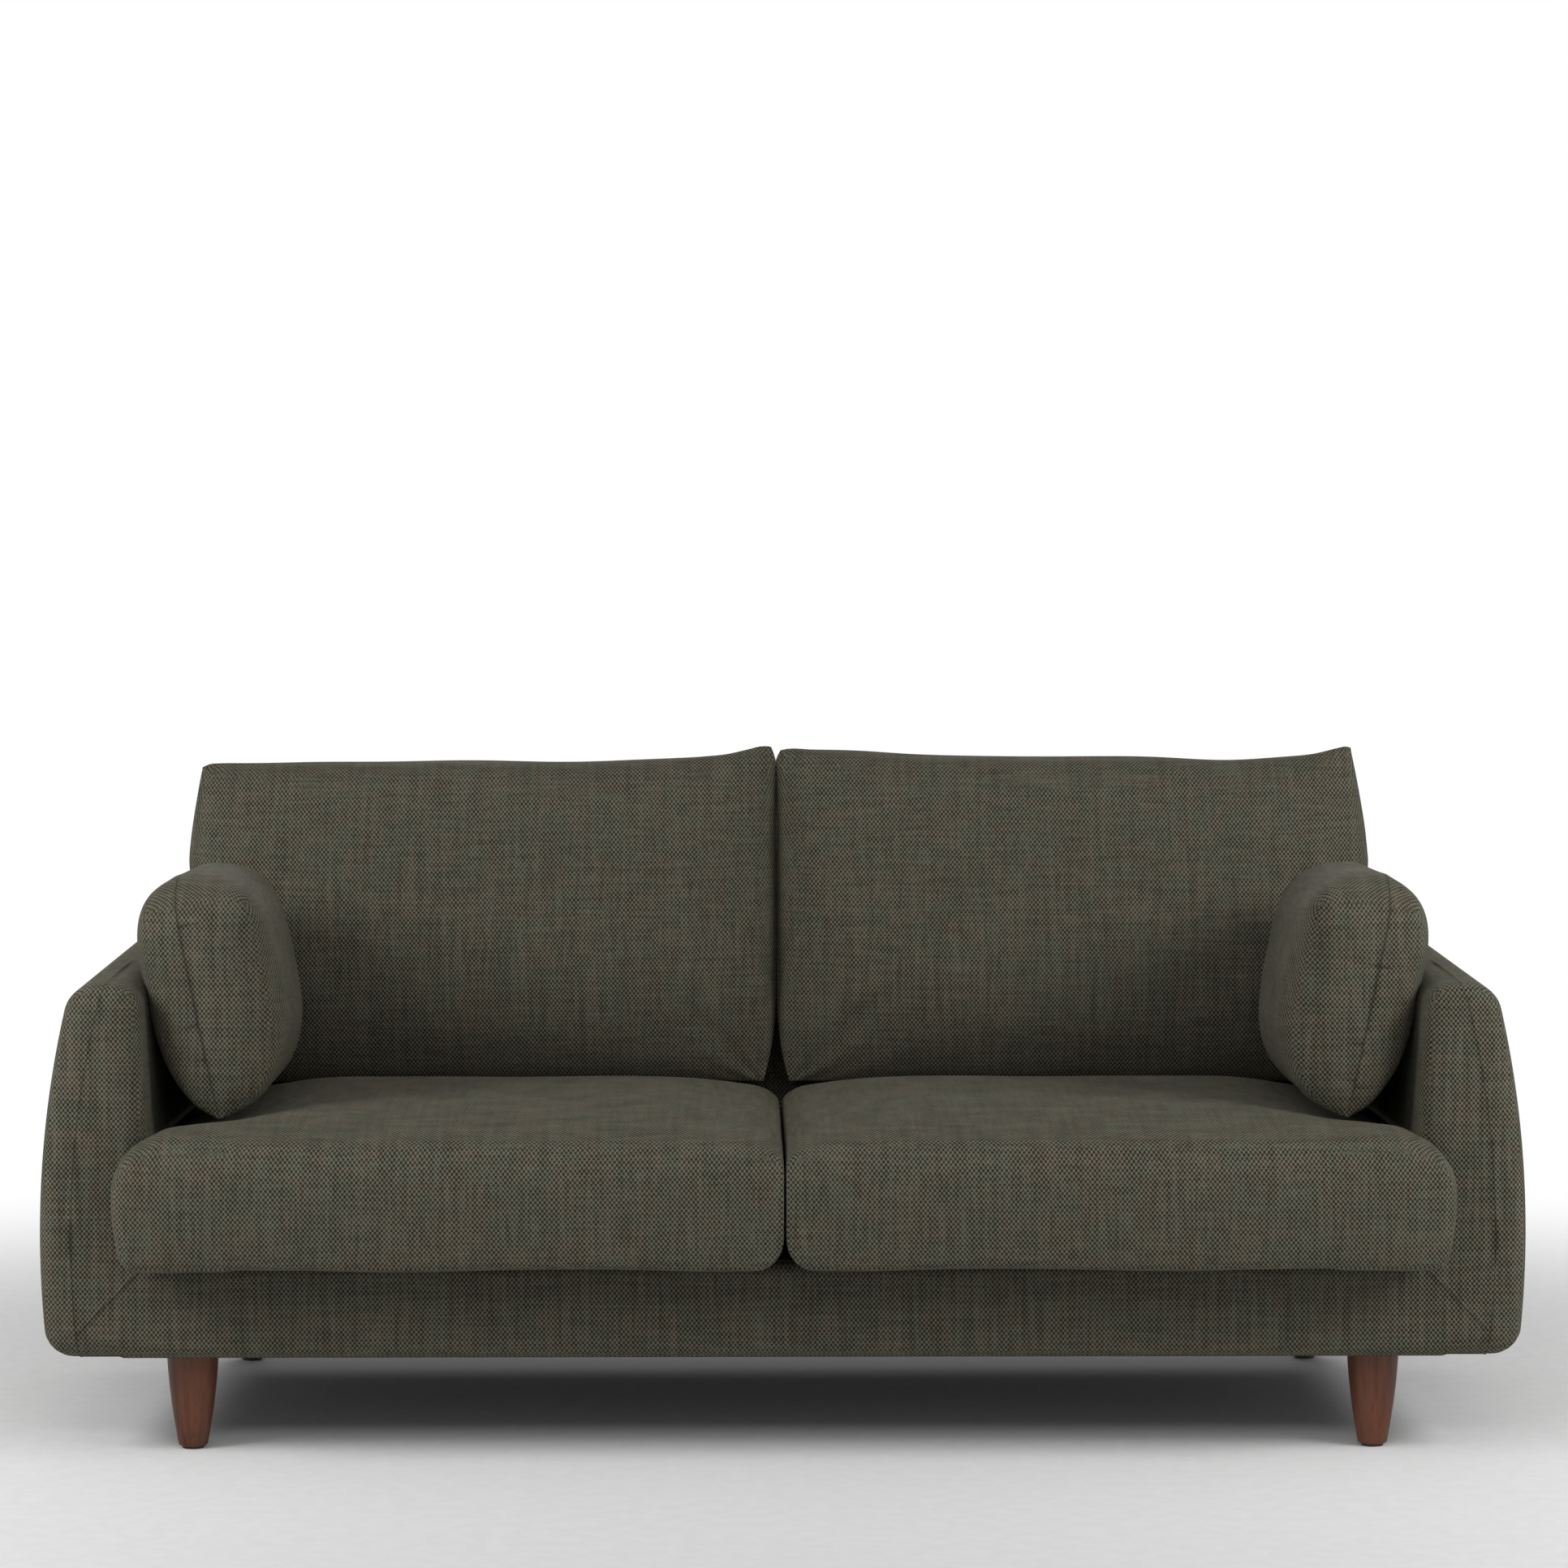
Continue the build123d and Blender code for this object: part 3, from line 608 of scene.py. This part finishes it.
def ripple(obj, height, scale):
    """Soft unevenness of a stuffed cover."""
    x, y, z = (coords(obj) * scale).T
    wave = np.sin(x * 1.9 + 2.1 * np.sin(z * 1.3)) * np.sin(z * 2.3 + y * 1.7)
    wave += 0.6 * np.sin(x * 4.3 - z * 3.1 + 1.4 * np.sin(x * 0.9))
    set_coords(obj, coords(obj) + normals(obj) * (height * wave[:, None]))


def fall(inside, depth, reach):
    """How far a cushion's top drops towards an edge."""
    return depth * np.clip(1 - inside / reach, 0, 1.2) ** 2


def seat_shape(x, y, z):
    """Field of the right seat cushion, with its ear in front of the arm."""
    front = 0.010 * ((z - 0.330) / 0.085) ** 2 + SEAT_FRONT - y
    rear = y - inside_line(DECK) + SEAT_CLEAR
    inner = SEAT_GAP + 0.0014 * ramp01(z, 0.400, 0.360) - x
    overhang = ramp01(y, -0.355, -0.400)
    low = SEAT_LOW - overhang * (0.0015 + 0.0015 * np.sin(x * 14 + 0.8)) - z
    by_arm = ramp01(y, -0.380, -0.270)
    outer = fall(EAR_X - x, 0.055, 0.13) * (1 - by_arm) + fall(ARM_INNER - x, 0.045, 0.27) * by_arm
    falls = (fall(y + 0.45, 0.042, 0.26), fall(-rear, 0.052, 0.26), fall(x, 0.028, 0.24), outer)
    top = z - SEAT_TOP + sum(f ** 2.5 for f in falls) ** 0.4
    both = round_max(round_max(front, top, FRONT_TOP_R), low, FRONT_LOW_R)
    main = np.maximum(round_max(top, inner, INNER_TOP_R), round_max(low, inner, INNER_LOW_R))
    main = np.maximum(main, round_max(both, inner, INNER_FRONT_R))
    main = round_max(round_max(main, x - ARM_INNER + SEAT_CLEAR, OUTER_R), rear, OUTER_R)
    tip = x - EAR_X + 0.010 * ((z - 0.345) / 0.09) ** 2
    ear = round_max(round_max(both, tip, EAR_TIP_R), y - FRONT_Y + SEAT_CLEAR, EAR_REAR_R)
    return smooth_min(np.maximum(ear, EAR_FROM - x), main, EAR_BLEND)


def seats_field(x, y, z):
    """Field of both seat cushions."""
    return seat_shape(np.abs(x), y, z)


def mirrored(obj, name):
    other = bpy.data.objects.new(name, obj.data.copy())
    scene.collection.objects.link(other)
    set_coords(other, coords(other) * (-1, 1, 1))
    other.data.flip_normals()
    return other


def make_seats():
    """The right seat cushion and its mirror image."""
    low, high = (-0.02, -0.475, 0.235), (0.87, 0.315, 0.475)
    obj = field_mesh("right_seat_cushion", seat_shape, low, high, SEAT_STEP)
    inflate(obj, 0.003)
    subdivided(obj)
    ripple(obj, 0.0004, 9.0)
    keep_off(obj, body_field, SEAT_OFF_BODY)
    points = coords(obj)
    x, z = points[:, 0], points[:, 2]
    # The two cushions press flat against each other between their rounded corners
    facing = ramp01(z, 0.268, 0.300) * ramp01(z, 0.432, 0.405)
    x += (np.interp(x, LOOSE_X, PRESSED_X) - x) * facing
    points[:, 0] = np.maximum(x, SEAT_GAP)
    set_coords(obj, points)
    return {"right": obj, "left": mirrored(obj, "left_seat_cushion")}


def pillow(name, place, count, front, back, creases=()):
    """Two sheets sewn along one rim. Place puts square coordinates and a height in space.
    A crease is a sheet, an end of u, a place along v and the depths of its points; the depths sink
    it in and darken it with painted shade."""
    def line(n):
        return np.sin(np.linspace(-1, 1, n) * math.pi / 2)

    def quads(n):
        return np.stack([n[:-1, :-1], n[1:, :-1], n[1:, 1:], n[:-1, 1:]], -1).reshape(-1, 4)

    u, v = np.meshgrid(line(count[0]), line(count[1]), indexing="ij")
    rim = (np.abs(u) > 1 - 1e-9) | (np.abs(v) > 1 - 1e-9)
    upper = np.arange(u.size).reshape(u.shape)
    under = upper.copy()
    under[~rim] = u.size + np.arange((~rim).sum())
    points = np.concatenate([
        np.stack(place(u, v, front(u, v)), -1).reshape(-1, 3),
        np.stack(place(u, v, -back(u, v)), -1)[~rim]])
    obj = make_object(name, points, np.concatenate([quads(upper), quads(under)[:, ::-1]]))
    chosen = np.zeros(len(points))
    chosen[:u.size] = rim.ravel()
    seam = chosen.copy()
    for sheet, end, at, depths in creases:
        row = (upper if sheet == "front" else under)[::-end, np.abs(v[0] - at).argmin()]
        seam[row[1:len(depths) + 1]] = depths
    add_seam(obj, seam)
    sharp = obj.data.attributes.new("crease_edge", "FLOAT", "EDGE")
    sharp.data.foreach_set("value", chosen[edge_pairs(obj)].prod(1).astype(np.float32))
    obj.vertex_groups.new(name="rim").add(np.flatnonzero(chosen).tolist(), 1.0, "REPLACE")
    return obj


def finish_pillow(obj, cap, rough, scale):
    """Swell a pillow, press it against its neighbours and draw its seam in."""
    inflate(obj, cap)
    obj.vertex_groups.clear()
    subdivided(obj)
    ripple(obj, rough, scale)
    seam = gathered(obj.data.attributes["seam"].data, "value", 1)
    set_coords(obj, coords(obj) - normals(obj) * (SEAM_GROOVE * seam))
    keep_off(obj, seats_field, PILLOW_OFF_SEAT)
    keep_off(obj, body_field, PILLOW_OFF_BODY)


# Edges of the back cushions, seen from the front: the outer edge as height and distance from the
# middle, the top edge as distance from the middle and height
BACK_OUTER = [
    (0.405, 0.8080), (0.600, 0.8175), (0.645, 0.8215), (0.685, 0.8340), (0.727, 0.8415),
    (0.760, 0.8395), (0.800, 0.8340), (0.840, 0.8270), (0.865, 0.8225), (0.895, 0.8180)]
BACK_TOP = {
    "right": [
        (0.000, 0.8835), (0.012, 0.8860), (0.046, 0.8850), (0.116, 0.8826), (0.255, 0.8770),
        (0.395, 0.8755), (0.534, 0.8740), (0.650, 0.8705), (0.720, 0.8742), (0.767, 0.8790),
        (0.800, 0.8875), (0.812, 0.8895), (0.830, 0.8800)],
    "left": [
        (0.000, 0.8800), (0.012, 0.8885), (0.024, 0.8895), (0.050, 0.8835), (0.070, 0.8790),
        (0.116, 0.8757), (0.302, 0.8677), (0.487, 0.8700), (0.650, 0.8678), (0.765, 0.8656),
        (0.800, 0.8648), (0.812, 0.8640), (0.830, 0.8560)]}


def make_back(side):
    """A back cushion: u runs to the right, v upwards and h forwards."""
    sign = SIGN[side]
    cap = 0.004
    half = BACK_T / 2 - cap

    def place(u, v, h):
        across, up = (1 + sign * u) / 2, (v + 1) / 2
        low = BACK_LOW + 0.004 * u ** 2
        near = sign * PARTING_X - 0.0014 + 0.008 * np.clip((v - 0.90) / 0.10, 0, 1) ** 2
        near += 0.020 * np.clip((-v - 0.45) / 0.55, 0, 1) ** 2
        edge = low + (through(BACK_CORNER_X + 0 * v, BACK_TOP[side]) - low) * up
        far = through(edge, BACK_OUTER)
        x = near + (far - near) * across
        high = through(np.abs(x), BACK_TOP[side])
        z = low + (high - low) * up
        y = inside_line(z) - (BACK_T / 2 + 0.0005) / math.cos(RAKE)
        return sign * x, y - h * math.cos(RAKE), z + h * math.sin(RAKE)

    def swell(u, v):
        upright = np.where(v > 0, (1 - np.abs(v) ** 3.2) ** 0.5, (1 - np.abs(v) ** 2.3) ** 0.55)
        return half * (1 - np.abs(u) ** 5.5) ** 0.5 * upright

    obj = pillow(side + "_back_cushion", place, (92, 56), swell, swell)
    finish_pillow(obj, cap, 0.0007, 8.0)
    points = coords(obj)
    points[:, 0] = sign * np.maximum(sign * points[:, 0], sign * PARTING_X + BACK_GAP)
    set_coords(obj, points)
    return obj


# Creases at the bolsters' front ends: the sheet, the place along the seam and the depths, which
# sink them in and darken them with painted shade
STRONG, FAINT = (0.97, 0.94, 0.80), (0.88, 0.84, 0.72)
CREASES = {
    "right": [
        ("front", 0.285, FAINT), ("back", 0.25, STRONG), ("front", -0.404, FAINT),
        ("back", -0.43, FAINT), ("back", -0.755, STRONG), ("front", -0.68, FAINT)],
    "left": [("front", 0.649, STRONG), ("back", -0.21, STRONG), ("back", -0.52, FAINT)]}


def make_bolster(side):
    """A bolster: u runs along the arm, v upwards and h inwards."""
    sign = SIGN[side]
    tilt = math.radians(11.5)
    foot_x, middle_y, foot_z = 0.7240, -0.083, 0.4285
    half_long, tall, thick_in, thick_out = 0.225, 0.315, 0.111, 0.069
    cap = 0.003

    def place(u, v, h):
        reach = half_long - 0.055 * np.clip((v - 0.5) / 0.5, 0, 1) ** 3
        reach -= 0.012 * np.clip((-v - 0.6) / 0.4, 0, 1) ** 2
        up = tall * (v + 1) / 2 - 0.016 * np.abs(u) ** 7 * np.clip(v, 0, 1) ** 2
        x = foot_x + up * math.sin(tilt) - h * math.cos(tilt)
        z = foot_z + up * math.cos(tilt) + h * math.sin(tilt)
        return sign * x, middle_y - sign * u * reach, z

    def ends(u):
        return (1 - np.abs(u) ** 13) ** 0.5 * (0.90 + 0.10 * sign * u)

    def inward(u, v):
        rise = np.where(v > 0, (1 - np.abs(v) ** 5.0) ** 0.46, (1 - np.abs(v) ** 2.8) ** 0.46)
        return (thick_in - cap) * ends(u) * rise

    def outward(u, v):
        rise = np.where(v > 0, (1 - np.abs(v) ** 4.5) ** 0.46, (1 - np.abs(v) ** 2.2) ** 0.46)
        return (thick_out - cap) * ends(u) * rise

    creases = [(sheet, sign, at, depths) for sheet, at, depths in CREASES[side]]
    obj = pillow(side + "_bolster", place, (66, 52), inward, outward, creases)
    finish_pillow(obj, cap, 0.0005, 14.0)
    return obj


seats = make_seats()
for side in SIGN:
    for obj, part, core, fill in (
            (seats[side], "seat", "core", 0.85),
            (make_back(side), "back", "fill", 0.7),
            (make_bolster(side), "bolster", "fill", 0.75)):
        name = f"{side}_{part}"
        dress(obj, FABRIC, "upholstery", name, f"{name}_cover", f"{name}_{core}")


# Floor, light and camera

def make_floor():
    """A pale floor that fades into the white behind it."""
    a = FLOOR_HALF
    obj = make_object("floor", [(-a, -a, 0), (a, -a, 0), (a, a, 0), (-a, a, 0)], [(0, 1, 2, 3)])
    n = Nodes(bpy.data.materials.new("pale_floor"))
    at = n.add("ShaderNodeTexCoord").outputs["Object"]
    far = n.add("ShaderNodeVectorMath", {0: at}, operation="LENGTH").outputs["Value"]
    grainy = n.noise(at, 40.0, 3.0).outputs["Fac"]
    tone = n.mix(n.span(grainy, 0.3, 0.7), (0.86, 0.86, 0.86, 1), (0.89, 0.89, 0.89, 1))
    plain = n.add("ShaderNodeBsdfDiffuse", {"Color": tone, "Roughness": 0.5})
    white = n.add("ShaderNodeEmission", {"Color": WHITE, "Strength": 1.0})
    fade = n.math("MULTIPLY", n.span(far, *FLOOR_FADE), n.seen())
    both = {0: fade, 1: plain.outputs[0], 2: white.outputs[0]}
    obj.data.materials.append(n.output(n.add("ShaderNodeMixShader", both)))


def make_world():
    """White to the viewer, and a weak even light on the part."""
    scene.world = bpy.data.worlds.new("studio")
    n = Nodes(scene.world)
    light = n.add("ShaderNodeBackground", {"Color": WHITE, "Strength": AMBIENT})
    white = n.add("ShaderNodeBackground", {"Color": WHITE, "Strength": 1.0})
    both = {0: n.seen(), 1: light.outputs[0], 2: white.outputs[0]}
    n.output(n.add("ShaderNodeMixShader", both), "World")


def make_area(name, place, aim, size, energy):
    data = bpy.data.lights.new(name, "AREA")
    data.shape = "RECTANGLE"
    data.size, data.size_y = size
    data.energy = energy
    obj = bpy.data.objects.new(name, data)
    obj.location = place
    obj.rotation_euler = (Vector(place) - Vector(aim)).to_track_quat("Z", "Y").to_euler()
    scene.collection.objects.link(obj)


def make_camera():
    data = bpy.data.cameras.new("camera")
    data.sensor_width = 36.0
    data.lens = data.sensor_width * FOCAL_PX / FRAME_PX
    data.clip_start, data.clip_end = 0.1, 100
    obj = bpy.data.objects.new("camera", data)
    obj.location = CAMERA_AT
    obj.rotation_euler = (math.radians(90 - CAMERA_DOWN), 0, math.radians(CAMERA_TURN))
    scene.collection.objects.link(obj)
    scene.camera = obj


make_floor()
make_world()
make_area("left_box", (-2.2, -1.2, 1.6), (-0.7, 0.0, 0.4), (0.9, 0.9), 28)
make_area("right_box", (2.2, -1.2, 1.6), (0.7, 0.0, 0.4), (0.9, 0.9), 28)
make_area("front_box", (0, -2.8, 1.9), (0, 0, 0.35), (2.2, 0.6), 11)
make_area("rear_box", (0, 2.6, 1.9), (0, 0.2, 0.5), (2.4, 0.8), 18)
make_camera()
scene.view_settings.view_transform = "Standard"

bpy.context.view_layer.update()
